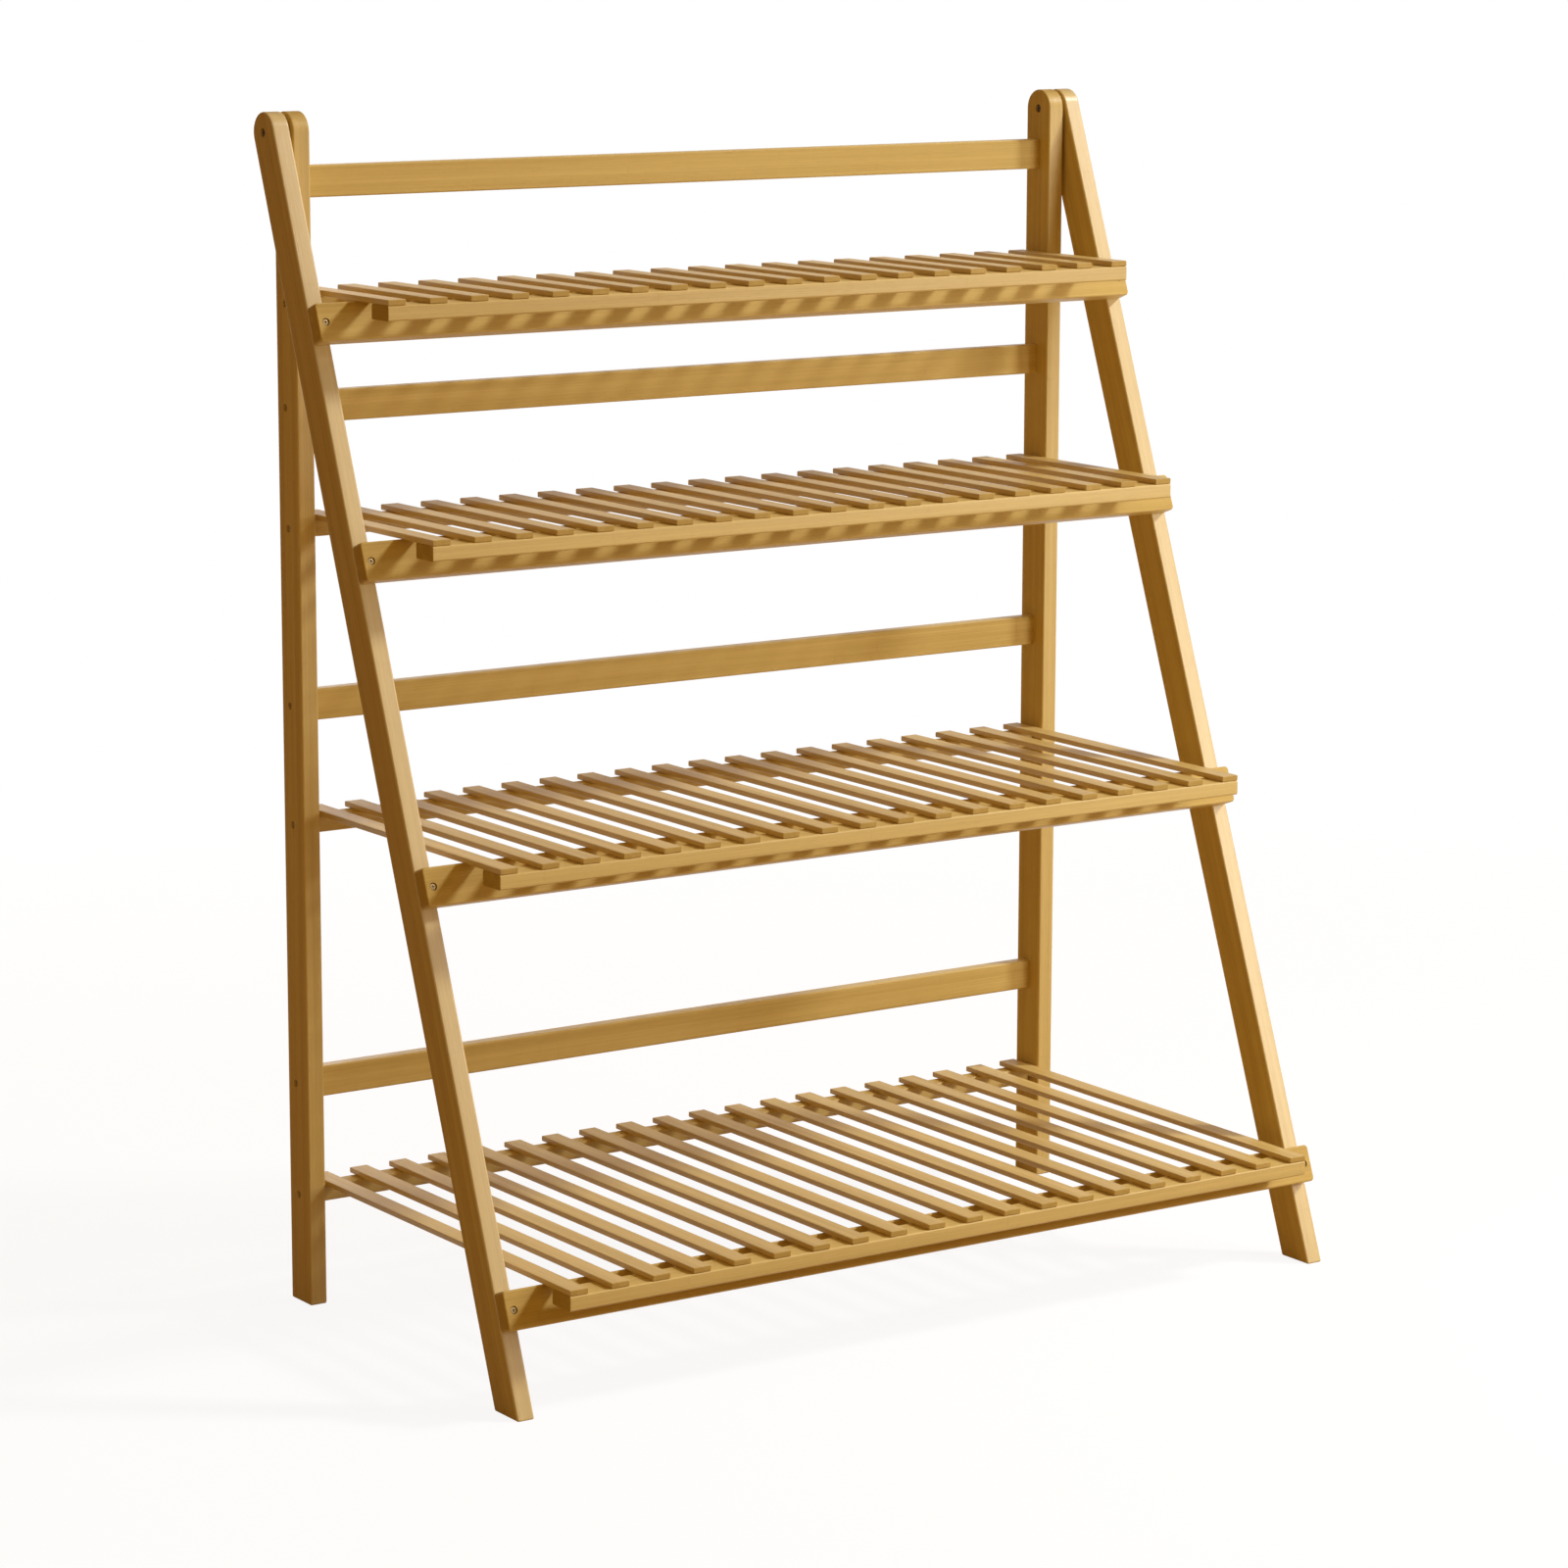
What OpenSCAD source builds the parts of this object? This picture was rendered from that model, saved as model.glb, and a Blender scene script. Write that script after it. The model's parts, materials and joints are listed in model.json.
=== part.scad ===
// Folding plant stand: four slatted shelves hinged to a rear frame and
// carried at the front by a slanted leg frame that swings in under them.
// X runs across the stand, -Y is its front, Z is up from the floor.

/* [Rear frame] */
// Height of the top pivots above the first shelf
pivot_height = 121; // [110:1:170]
// Clear width between the two rear uprights
inner_width = 715; // [600:5:800]
// Thickness of a rear upright, measured across the stand
upright_thickness = 15; // [13:0.5:18]
// Depth of a rear upright, front to back
upright_depth = 32; // [28:1:36]
// Height of the face of a guard rail
rail_height = 25; // [18:1:32]
// Thickness of a guard rail, front to back
rail_thickness = 12; // [9:0.5:14]
// How far the guard rails stand in from the rear faces of the uprights
rail_setback = 6.5; // [2:0.5:10]

/* [Front leg frame] */
// Thickness of a front leg, measured across the stand
leg_thickness = 15; // [13:0.5:18]
// Depth of a front leg, square to its length
leg_depth = 32; // [28:1:36]
// Slant of the open front legs from upright, in degrees
leg_slant = 20.5; // [18:0.5:24]
// Gap between each front leg and its upright, where the washer sits
side_gap = 2.5; // [1.5:0.5:4]
// Height of a crossbar, measured along the leg
crossbar_height = 30.5; // [26:0.5:38]
// Thickness of a crossbar, square to the leg
crossbar_thickness = 13; // [9:0.5:15]

/* [Shelf heights] */
// Height of the top of the first shelf, the uppermost one, above the second
shelf_1_height = 176.5; // [160:0.5:195]
// Height of the top of the second shelf above the third
shelf_2_height = 237; // [217:0.5:257]
// Height of the top of the third shelf above the fourth
shelf_3_height = 303; // [280:1:330]
// Height of the top of the fourth shelf, the lowest one, above the floor
shelf_4_height = 100.5; // [85:0.5:130]

/* [Guard rail heights] */
// Rise of the first guard rail's top above the first shelf
rail_1_rise = 95; // [60:0.5:105]
// Rise of the second guard rail's top above the second shelf
rail_2_rise = 96; // [60:0.5:110]
// Rise of the third guard rail's top above the third shelf
rail_3_rise = 96.5; // [60:0.5:120]
// Rise of the fourth guard rail's top above the fourth shelf
rail_4_rise = 92.5; // [60:0.5:120]

/* [Shelf overhang] */
// Reach of the first shelf in front of its crossbar's top edge
shelf_1_overhang = 52; // [40:0.5:70]
// Reach of the second shelf in front of its crossbar's top edge
shelf_2_overhang = 50; // [40:0.5:70]
// Reach of the third shelf in front of its crossbar's top edge
shelf_3_overhang = 56.5; // [40:0.5:70]
// Reach of the fourth shelf in front of its crossbar's top edge
shelf_4_overhang = 40; // [34:0.5:60]

/* [Shelf parts] */
// Gap between each end of a shelf and its upright
shelf_end_gap = 3; // [1:0.5:4]
// Number of slats on each shelf
slat_count = 20; // [14:1:24]
// Width of a slat
slat_width = 16; // [12:0.5:20]
// Thickness of a slat
slat_thickness = 4.5; // [3.5:0.5:6]
// How far the slats stop short of the rear faces of the uprights
slat_rear_gap = 0.5; // [0.5:0.5:3]
// Height of the front strip under the slats
strip_height = 12; // [9:0.5:16]
// Depth of the front strip, front to back
strip_depth = 26; // [22:1:32]
// Height of the rear bar under the slats
rear_bar_height = 14; // [12:0.5:18]
// Depth of the rear bar, front to back
rear_bar_depth = 15; // [13:0.5:17]
// Distance of the shelf pivots from the rear faces of the uprights
shelf_pivot_setback = 14.5; // [13:0.5:18]

/* [Fasteners] */
// Diameter of a screw head
screw_head_d = 5.6; // [5:0.2:7]
// Height of a screw head
screw_head_h = 2.4; // [2:0.2:3]
// Diameter of a screw shank
screw_shank_d = 3.5; // [3:0.1:4]
// Length of a guard rail or shelf pivot screw under its head
rail_screw_length = 38; // [30:1:50]
// Length of a crossbar screw under its head
crossbar_screw_length = 30; // [20:1:34]
// How deep the side screw heads lie below the wood
side_recess = 2; // [1:0.5:4]
// How deep the crossbar screw heads lie below the wood
crossbar_recess = 0.8; // [0.4:0.2:3]
// Outer diameter of the leg pivot sleeve
sleeve_d = 5; // [4.5:0.1:6]
// Diameter of the leg pivot bolt's shank
bolt_d = 3.4; // [3:0.1:3.8]
// Length of the leg pivot bolt under its head
bolt_length = 18; // [12:1:19]
// Diameter of the heads of the leg pivot bolt and sleeve
pivot_head_d = 6.6; // [6.2:0.2:9]
// Height of the heads of the leg pivot bolt and sleeve
pivot_head_h = 2; // [1.5:0.1:3]
// How deep the leg pivot heads lie below the wood
pivot_recess = 1.5; // [0.5:0.5:3]
// Outer diameter of the washer between leg and upright
washer_d = 14; // [10:0.5:20]
// Diameter of a brad that holds a slat
brad_d = 1.2; // [1:0.1:1.6]

/* [Edges and clearances] */
// Radius of the rounded long edges of the boards
board_edge = 1.5; // [0.5:0.1:3]
// Radius of the rounded long edges of the slats
slat_edge = 0.8; // [0.3:0.1:1.5]
// Radius of the rounded long edges of the front strips
strip_edge = 1.5; // [1:0.5:4]
// Clearance between the slats and the crossbar that carries them
rest_clearance = 0.3; // [0.2:0.1:0.6]
// Radial clearance of a pin that turns in its hole
turning_clearance = 0.05; // [0.02:0.01:0.1]
// Clearance round and under a sunk head, and beside a washer
seat_clearance = 0.3; // [0.2:0.1:0.4]

/* [Hidden] */
$fn = 48;

// Bite of a screw thread in the wood or in its sleeve, on the radius
thread_bite = 0.15;
// Length of a screw's pointed tip
tip_length = 5;
// Width, length and depth of the cross cut in a screw head
cross_width = 0.9;
cross_length = 3.4;
cross_depth = 1.2;
// How far a brad stops below the top of its slat
brad_cover = 1;
// Distance of the rear brads behind the shelf pivots
brad_offset = 4;
// Extra length that carries a cut past a face
cut_past = 1;

shelves = [0, 1, 2, 3];
shelf_3_top = shelf_4_height + shelf_3_height;
shelf_2_top = shelf_3_top + shelf_2_height;
shelf_1_top = shelf_2_top + shelf_1_height;
shelf_top = [shelf_1_top, shelf_2_top, shelf_3_top, shelf_4_height];
pivot_z = shelf_1_top + pivot_height;
round_top_z = pivot_z + leg_depth / 2;
upright_round_z = round_top_z - upright_depth / 2;
rail_rise = [rail_1_rise, rail_2_rise, rail_3_rise, rail_4_rise];
overhang = [shelf_1_overhang, shelf_2_overhang, shelf_3_overhang, shelf_4_overhang];

upright_inner_x = inner_width / 2;
upright_outer_x = upright_inner_x + upright_thickness;
leg_inner_x = upright_outer_x + side_gap;
leg_outer_x = leg_inner_x + leg_thickness;
leg_mid_x = leg_inner_x + leg_thickness / 2;
crossbar_length = 2 * leg_outer_x;
shelf_length = inner_width - 2 * shelf_end_gap;
slat_pitch = (shelf_length - slat_width) / (slat_count - 1);

pivot_y = -upright_depth / 2;
shelf_pivot_y = -shelf_pivot_setback;
rail_mid_y = -rail_setback - rail_thickness / 2;
leg_length = pivot_z / cos(leg_slant) + leg_depth;
sleeve_length = leg_outer_x - upright_inner_x
    - 2 * (pivot_recess + pivot_head_h) - seat_clearance;
crossbar_front = leg_depth / 2 + crossbar_thickness;

// Underside of the slats of shelf k
function slat_under(k) = shelf_top[k] - slat_thickness;
// Height of the pivots of shelf k, in the middle of its rear bar
function shelf_pivot_z(k) = slat_under(k) - rear_bar_height / 2;
// Distance along the leg from the top pivot to the top of crossbar k,
// set so that its rounded front edge lies just under the slats
function crossbar_drop(k) =
    (pivot_z + (crossbar_front - board_edge) * sin(leg_slant)
        + board_edge + rest_clearance - slat_under(k)) / cos(leg_slant) - board_edge;
// Front of shelf k: the crossbar's top front edge plus the overhang
function shelf_front(k) =
    pivot_y - crossbar_drop(k) * sin(leg_slant)
        - crossbar_front * cos(leg_slant) - overhang[k];
// Middle height of guard rail k
function rail_mid_z(k) = shelf_top[k] + rail_rise[k] - rail_height / 2;

foot_front = pivot_y - pivot_z * tan(leg_slant) - leg_depth / 2 / cos(leg_slant);
front_reach = min(concat([for (k = shelves) shelf_front(k)], [foot_front]));

// Colours of the bamboo and of the metal
bamboo = [0.80, 0.63, 0.35];
bamboo_slat = [0.84, 0.67, 0.40];
bronze = [0.35, 0.27, 0.18];
steel = [0.62, 0.60, 0.56];

// The origin lies on the floor, at the middle of the whole stand
module placed() {
    translate([0, -front_reach / 2, 0]) children();
}

// The leg frame's own axes: origin at the top pivot, Z along the legs
module on_leg() {
    translate([0, pivot_y, pivot_z]) rotate([-leg_slant, 0, 0]) children();
}

// Both sides of the stand, the left one mirrored from the right one
module both_sides() {
    children();
    mirror([1, 0, 0]) children();
}

// Rectangle with round corners, centred on the origin
module rounded_section(width, height, edge) {
    square([width - 2 * edge, height], center = true);
    square([width, height - 2 * edge], center = true);
    for (x = [-1, 1], y = [-1, 1])
        translate([x * (width / 2 - edge), y * (height / 2 - edge)]) circle(edge);
}

// Bar across the stand, centred on x = 0, with rounded long edges
module cross_piece(length, depth, height, edge) {
    rotate([90, 0, 90])
        linear_extrude(length, center = true) rounded_section(depth, height, edge);
}

// Board that hangs down from a pivot at the origin, with a round top
module hanging_board(thickness, depth, length, edge) {
    intersection() {
        rotate([90, 0, 90]) linear_extrude(thickness, center = true) {
            circle(depth / 2, $fn = 96);
            translate([-depth / 2, -length]) square([depth, length]);
        }
        translate([0, 0, -length])
            linear_extrude(length + depth) rounded_section(thickness, depth, edge);
    }
}

// Stepped hole along +X from x = 0: a head pocket, then a shank hole
module stepped_hole(head_d, head_depth, shank_d, depth) {
    rotate([0, 90, 0]) {
        translate([0, 0, -cut_past]) cylinder(head_depth + cut_past, d = head_d);
        cylinder(depth, d = shank_d);
    }
}

// Wood screw along +X, its head's top at x = 0, with a cross cut and a point
module wood_screw(length) {
    rotate([0, 90, 0]) {
        difference() {
            cylinder(screw_head_h, d = screw_head_d);
            for (turn = [0, 90])
                rotate(turn)
                    translate([-cross_length / 2, -cross_width / 2, -cut_past])
                        cube([cross_length, cross_width, cross_depth + cut_past]);
        }
        translate([0, 0, screw_head_h])
            cylinder(length - tip_length, d = screw_shank_d);
        translate([0, 0, screw_head_h + length - tip_length])
            cylinder(tip_length, d1 = screw_shank_d, d2 = 0.4);
    }
}

// Place of a side screw's head in the right upright, pointing inwards;
// lift is the play between the head and its seat
module side_screw_place(y, z, lift) {
    translate([upright_outer_x - side_recess + lift, y, z]) mirror([1, 0, 0]) children();
}

// Hole in the right upright for a side screw, cut from its outer face
module side_screw_hole(y, z) {
    translate([upright_outer_x, y, z]) mirror([1, 0, 0])
        stepped_hole(screw_head_d + 2 * seat_clearance,
            side_recess + screw_head_h,
            screw_shank_d + 2 * turning_clearance,
            upright_thickness + cut_past);
}

// Pilot hole that a side screw cuts its thread in, from face_x inwards
module side_pilot_hole(face_x, y, z) {
    reach = rail_screw_length + side_recess + screw_head_h;
    depth = reach - (upright_outer_x - face_x);
    translate([face_x + cut_past, y, z]) mirror([1, 0, 0]) rotate([0, 90, 0])
        cylinder(depth + cut_past, d = screw_shank_d - 2 * thread_bite);
}

// The upright's round top ends level with that of the leg beside it
module right_upright() {
    difference() {
        translate([upright_inner_x + upright_thickness / 2, pivot_y, upright_round_z])
            hanging_board(upright_thickness, upright_depth, upright_round_z, board_edge);
        for (k = shelves) {
            side_screw_hole(rail_mid_y, rail_mid_z(k));
            side_screw_hole(shelf_pivot_y, shelf_pivot_z(k));
        }
        translate([upright_inner_x, pivot_y, pivot_z])
            stepped_hole(pivot_head_d + 2 * seat_clearance, pivot_recess + pivot_head_h,
                sleeve_d + 2 * turning_clearance, upright_thickness + cut_past);
    }
}

module rear_upright_right() {
    color(bamboo) placed() right_upright();
}

module rear_upright_left() {
    color(bamboo) placed() mirror([1, 0, 0]) right_upright();
}

module guard_rail(k) {
    color(bamboo) placed()
        difference() {
            translate([0, rail_mid_y, rail_mid_z(k)])
                cross_piece(inner_width, rail_thickness, rail_height, board_edge);
            both_sides() side_pilot_hole(upright_inner_x, rail_mid_y, rail_mid_z(k));
        }
}

module guard_rail_screws() {
    color(steel) placed() both_sides()
        for (k = shelves)
            side_screw_place(rail_mid_y, rail_mid_z(k), 0) wood_screw(rail_screw_length);
}

// Head and shank of the pivot bolt, put in from the outer face of the leg
module leg_pivot_bolts() {
    color(bronze) placed() both_sides()
        translate([leg_outer_x - pivot_recess, pivot_y, pivot_z])
            rotate([0, -90, 0]) {
                cylinder(pivot_head_h - seat_clearance, d = pivot_head_d);
                cylinder(pivot_head_h - seat_clearance + bolt_length, d = bolt_d);
            }
}

// Threaded sleeve from the inner face of the upright, on which the leg turns
module leg_pivot_sleeves() {
    color(bronze) placed() both_sides()
        translate([upright_inner_x + pivot_recess, pivot_y, pivot_z])
            rotate([0, 90, 0])
                difference() {
                    union() {
                        cylinder(pivot_head_h, d = pivot_head_d);
                        cylinder(pivot_head_h + sleeve_length, d = sleeve_d);
                    }
                    translate([0, 0, pivot_head_h])
                        cylinder(sleeve_length + cut_past, d = bolt_d - 2 * thread_bite);
                }
}

// Washer that keeps the leg off the upright
module leg_pivot_washers() {
    color(steel) placed() both_sides()
        translate([upright_outer_x, pivot_y, pivot_z])
            rotate([0, 90, 0])
                difference() {
                    cylinder(side_gap - seat_clearance, d = washer_d);
                    translate([0, 0, -cut_past])
                        cylinder(side_gap + 2 * cut_past, d = sleeve_d + 2 * seat_clearance);
                }
}

// Place of a crossbar screw's head on the right leg, pointing into the leg
module crossbar_screw_place(k) {
    translate([leg_mid_x, -crossbar_front, -crossbar_drop(k) - crossbar_height / 2])
        rotate([0, 0, 90]) children();
}

module right_leg() {
    difference() {
        on_leg() difference() {
            translate([leg_mid_x, 0, 0])
                hanging_board(leg_thickness, leg_depth, leg_length, board_edge);
            translate([leg_outer_x, 0, 0]) mirror([1, 0, 0])
                stepped_hole(pivot_head_d + 2 * seat_clearance, pivot_recess + pivot_head_h,
                    sleeve_d + 2 * turning_clearance, leg_thickness + cut_past);
            for (k = shelves)
                crossbar_screw_place(k) rotate([0, 90, 0])
                    cylinder(crossbar_recess + screw_head_h + crossbar_screw_length,
                        d = screw_shank_d - 2 * thread_bite);
        }
        translate([0, -2 * pivot_z, -pivot_z])
            cube([2 * leg_outer_x, 2 * pivot_z, pivot_z]);
    }
}

module front_leg_right() {
    color(bamboo) placed() right_leg();
}

module front_leg_left() {
    color(bamboo) placed() mirror([1, 0, 0]) right_leg();
}

module crossbar(k) {
    color(bamboo) placed() on_leg()
        difference() {
            translate([0, -(leg_depth + crossbar_thickness) / 2,
                -crossbar_drop(k) - crossbar_height / 2])
                cross_piece(crossbar_length, crossbar_thickness, crossbar_height, board_edge);
            both_sides() crossbar_screw_place(k)
                stepped_hole(screw_head_d + 2 * seat_clearance,
                    crossbar_recess + screw_head_h,
                    screw_shank_d + 2 * turning_clearance, crossbar_thickness + cut_past);
        }
}

module crossbar_screws() {
    color(steel) placed() on_leg() both_sides()
        for (k = shelves)
            crossbar_screw_place(k) translate([crossbar_recess, 0, 0])
                wood_screw(crossbar_screw_length);
}

// Centre of slat i, counted from the left
function slat_x(i) = (i - (slat_count - 1) / 2) * slat_pitch;

module shelf_slats(k) {
    slat_length = -slat_rear_gap - shelf_front(k);
    color(bamboo_slat) placed()
        for (i = [0 : slat_count - 1])
            translate([slat_x(i), -slat_rear_gap, slat_under(k) + slat_thickness / 2])
                rotate([90, 0, 0])
                    linear_extrude(slat_length)
                        rounded_section(slat_width, slat_thickness, slat_edge);
}

// Strip under the front ends of the slats, flush with them
module shelf_front_strip(k) {
    color(bamboo) placed()
        translate([0, shelf_front(k) + strip_depth / 2, slat_under(k) - strip_height / 2])
            cross_piece(shelf_length, strip_depth, strip_height, strip_edge);
}

module shelf_rear_bar(k) {
    color(bamboo) placed()
        difference() {
            translate([0, shelf_pivot_y, shelf_pivot_z(k)])
                cross_piece(shelf_length, rear_bar_depth, rear_bar_height, board_edge);
            both_sides() side_pilot_hole(shelf_length / 2, shelf_pivot_y, shelf_pivot_z(k));
        }
}

// Screws on which shelf k turns: they run free in the uprights
module shelf_pivot_screws(k) {
    color(steel) placed() both_sides()
        side_screw_place(shelf_pivot_y, shelf_pivot_z(k), seat_clearance)
            wood_screw(rail_screw_length);
}

// Brads driven up into every slat through the front strip and the rear bar
module shelf_brads(k) {
    brad_top = slat_thickness - brad_cover;
    color(steel) placed()
        for (i = [0 : slat_count - 1]) {
            translate([slat_x(i), shelf_front(k) + strip_depth / 2, slat_under(k) - strip_height])
                cylinder(strip_height + brad_top, d = brad_d);
            translate([slat_x(i), shelf_pivot_y + brad_offset, slat_under(k) - rear_bar_height])
                cylinder(rear_bar_height + brad_top, d = brad_d);
        }
}

rear_upright_left();
rear_upright_right();
guard_rail(0);  // guard_rail_1
guard_rail(1);  // guard_rail_2
guard_rail(2);  // guard_rail_3
guard_rail(3);  // guard_rail_4
guard_rail_screws();
leg_pivot_bolts();
leg_pivot_sleeves();
leg_pivot_washers();
front_leg_left();
front_leg_right();
crossbar(0);  // crossbar_1
crossbar(1);  // crossbar_2
crossbar(2);  // crossbar_3
crossbar(3);  // crossbar_4
crossbar_screws();
shelf_slats(0);  // shelf_1_slats
shelf_front_strip(0);  // shelf_1_front_strip
shelf_rear_bar(0);  // shelf_1_rear_bar
shelf_pivot_screws(0);  // shelf_1_pivot_screws
shelf_brads(0);  // shelf_1_brads
shelf_slats(1);  // shelf_2_slats
shelf_front_strip(1);  // shelf_2_front_strip
shelf_rear_bar(1);  // shelf_2_rear_bar
shelf_pivot_screws(1);  // shelf_2_pivot_screws
shelf_brads(1);  // shelf_2_brads
shelf_slats(2);  // shelf_3_slats
shelf_front_strip(2);  // shelf_3_front_strip
shelf_rear_bar(2);  // shelf_3_rear_bar
shelf_pivot_screws(2);  // shelf_3_pivot_screws
shelf_brads(2);  // shelf_3_brads
shelf_slats(3);  // shelf_4_slats
shelf_front_strip(3);  // shelf_4_front_strip
shelf_rear_bar(3);  // shelf_4_rear_bar
shelf_pivot_screws(3);  // shelf_4_pivot_screws
shelf_brads(3);  // shelf_4_brads
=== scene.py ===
# Folding plant stand of varnished bamboo: four slatted shelves hinged to an
# upright rear frame and carried in front by a slanted leg frame.
import json
import math
import random

import bmesh
import bpy
from mathutils import Matrix, Vector


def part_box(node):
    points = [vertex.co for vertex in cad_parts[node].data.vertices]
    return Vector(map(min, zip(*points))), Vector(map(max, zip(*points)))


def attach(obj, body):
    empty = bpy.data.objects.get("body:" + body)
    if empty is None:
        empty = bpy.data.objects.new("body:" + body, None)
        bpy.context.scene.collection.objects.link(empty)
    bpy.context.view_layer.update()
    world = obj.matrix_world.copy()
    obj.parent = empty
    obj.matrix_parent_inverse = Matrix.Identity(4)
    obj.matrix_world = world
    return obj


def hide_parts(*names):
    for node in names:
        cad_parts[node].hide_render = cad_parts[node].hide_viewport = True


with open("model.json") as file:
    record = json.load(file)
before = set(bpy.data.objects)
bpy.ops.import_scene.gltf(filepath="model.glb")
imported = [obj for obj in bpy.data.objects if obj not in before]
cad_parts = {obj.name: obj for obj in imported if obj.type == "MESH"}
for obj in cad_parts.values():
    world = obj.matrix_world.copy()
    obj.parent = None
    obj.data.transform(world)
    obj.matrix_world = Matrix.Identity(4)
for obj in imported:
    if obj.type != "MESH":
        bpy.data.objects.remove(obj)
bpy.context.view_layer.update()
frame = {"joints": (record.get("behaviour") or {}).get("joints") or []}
scene = bpy.context.scene
scene.view_settings.view_transform = "Standard"


# The photographer's place: in front of the stand and to its left, a little
# above its middle, four metres off, with a long lens.
VIEW_TURN = math.radians(-34.09)
VIEW_DROP = math.radians(10.57)
VIEW_ROLL = math.radians(0.15)
VIEW_DISTANCE = 3.9926
VIEW_TARGET = Vector((-0.0053, 0.0337, 0.4113))
VIEW_REACH = 200
LENS = 113.33
SENSOR_WIDTH = 36

forward = Vector((
    -math.sin(VIEW_TURN) * math.cos(VIEW_DROP),
    math.cos(VIEW_TURN) * math.cos(VIEW_DROP),
    -math.sin(VIEW_DROP),
))
level = Vector((math.cos(VIEW_TURN), math.sin(VIEW_TURN), 0))
upward = level.cross(forward)
right = level * math.cos(VIEW_ROLL) + upward * math.sin(VIEW_ROLL)
upward = right.cross(forward)

camera = bpy.data.objects.new("camera", bpy.data.cameras.new("camera"))
camera.data.lens = LENS
camera.data.sensor_width = SENSOR_WIDTH
camera.data.clip_end = VIEW_REACH
camera.matrix_world = Matrix.LocRotScale(
    VIEW_TARGET - forward * VIEW_DISTANCE,
    Matrix((right, upward, -forward)).transposed().to_quaternion(),
    None,
)
scene.collection.objects.link(camera)
scene.camera = camera


# The room: a white floor that runs out of sight, white surroundings, a main
# lamp high on the right, whose light falls through the slats, and pale panels
# low on the right and behind. What little light comes from elsewhere is warm.
def add_node(tree, kind, inputs=None, **settings):
    """New node with its settings made and its inputs set or linked."""
    node = tree.nodes.new(kind)
    for name, value in settings.items():
        setattr(node, name, value)
    for name, value in (inputs or {}).items():
        if isinstance(value, bpy.types.NodeSocket):
            tree.links.new(value, node.inputs[name])
        else:
            node.inputs[name].default_value = value
    return node


def sum_of(tree, *parts):
    """Socket with the sum of the given sockets and numbers."""
    total = parts[0]
    for part in parts[1:]:
        total = add_node(tree, "ShaderNodeMath", {0: total, 1: part}).outputs[0]
    return total


def product(tree, first, second, operation="MULTIPLY"):
    """Socket with the product of two values, or another operation on them."""
    return add_node(tree, "ShaderNodeMath", {0: first, 1: second},
                    operation=operation).outputs[0]


def blend(tree, share, first, second):
    """Socket with a colour between two others, nearer the second as the share
    grows. The node's sockets 6 and 7 are its two colours, 2 is the result."""
    return add_node(tree, "ShaderNodeMix", {0: share, 6: first, 7: second},
                    data_type="RGBA").outputs[2]


def fade(tree, value, start, end, interpolation="LINEAR"):
    """Socket that goes from 0 to 1 as the value goes from start to end."""
    return add_node(tree, "ShaderNodeMapRange", {
        "Value": value, "From Min": start, "From Max": end},
        interpolation_type=interpolation).outputs[0]


def seen_white(tree):
    """Socket that is 1 where the camera, a gloss or a clear piece looks at it."""
    path = add_node(tree, "ShaderNodeLightPath")
    seen = product(tree, path.outputs["Is Camera Ray"], path.outputs["Is Glossy Ray"], "MAXIMUM")
    return product(tree, seen, path.outputs["Is Transmission Ray"], "MAXIMUM")


WHITE = (1, 1, 1, 1)
ROOM_LIGHT = (0.4, 0.225, 0.055, 1)
LEFT_LIGHT = (0.24, 0.13, 0.03, 1)
# Sideways parts of the directions between which the room's light changes
LEFT_END = -0.8
LEFT_START = 0.2
FLOOR_LIGHT = (0.5, 0.34, 0.12, 1)
FLOOR_SIZE = 80
FLOOR_GLOW = 0.9
FLOOR_SHADE = 0.13
SHADE_REACH = 2.4
SHADE_CORE = 0.8
# Each lamp's name, shape, size, power, place and the point that it faces
LAMPS = (
    ("main_lamp", "DISK", 1.2, 410, Vector((5.83, -2.85, 5.5)), Vector((0, 0, 0.75))),
    ("pale_panel", "SQUARE", 0.7, 7, Vector((0.95, -1.0, 0.75)), Vector((0, 0, 0.55))),
    ("rear_panel", "SQUARE", 1.5, 20, Vector((0.45, 3.0, 0.4)), Vector((0, 0, 0.4))),
)

world = bpy.data.worlds.new("white_room")
world.use_nodes = True
scene.world = world
room = world.node_tree
side = add_node(room, "ShaderNodeSeparateXYZ", {
    0: add_node(room, "ShaderNodeTexCoord").outputs["Generated"]}).outputs["X"]
light = blend(room, fade(room, side, LEFT_END, LEFT_START), LEFT_LIGHT, ROOM_LIGHT)
tint = blend(room, seen_white(room), light, WHITE)
room.links.new(tint, room.nodes["Background"].inputs["Color"])

for name, shape, size, power, place, aim in LAMPS:
    lamp = bpy.data.objects.new(name, bpy.data.lights.new(name, "AREA"))
    lamp.data.shape = shape
    lamp.data.size = size
    lamp.data.energy = power
    lamp.matrix_world = Matrix.LocRotScale(place, (place - aim).to_track_quat("Z", "Y"), None)
    scene.collection.objects.link(lamp)

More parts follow.
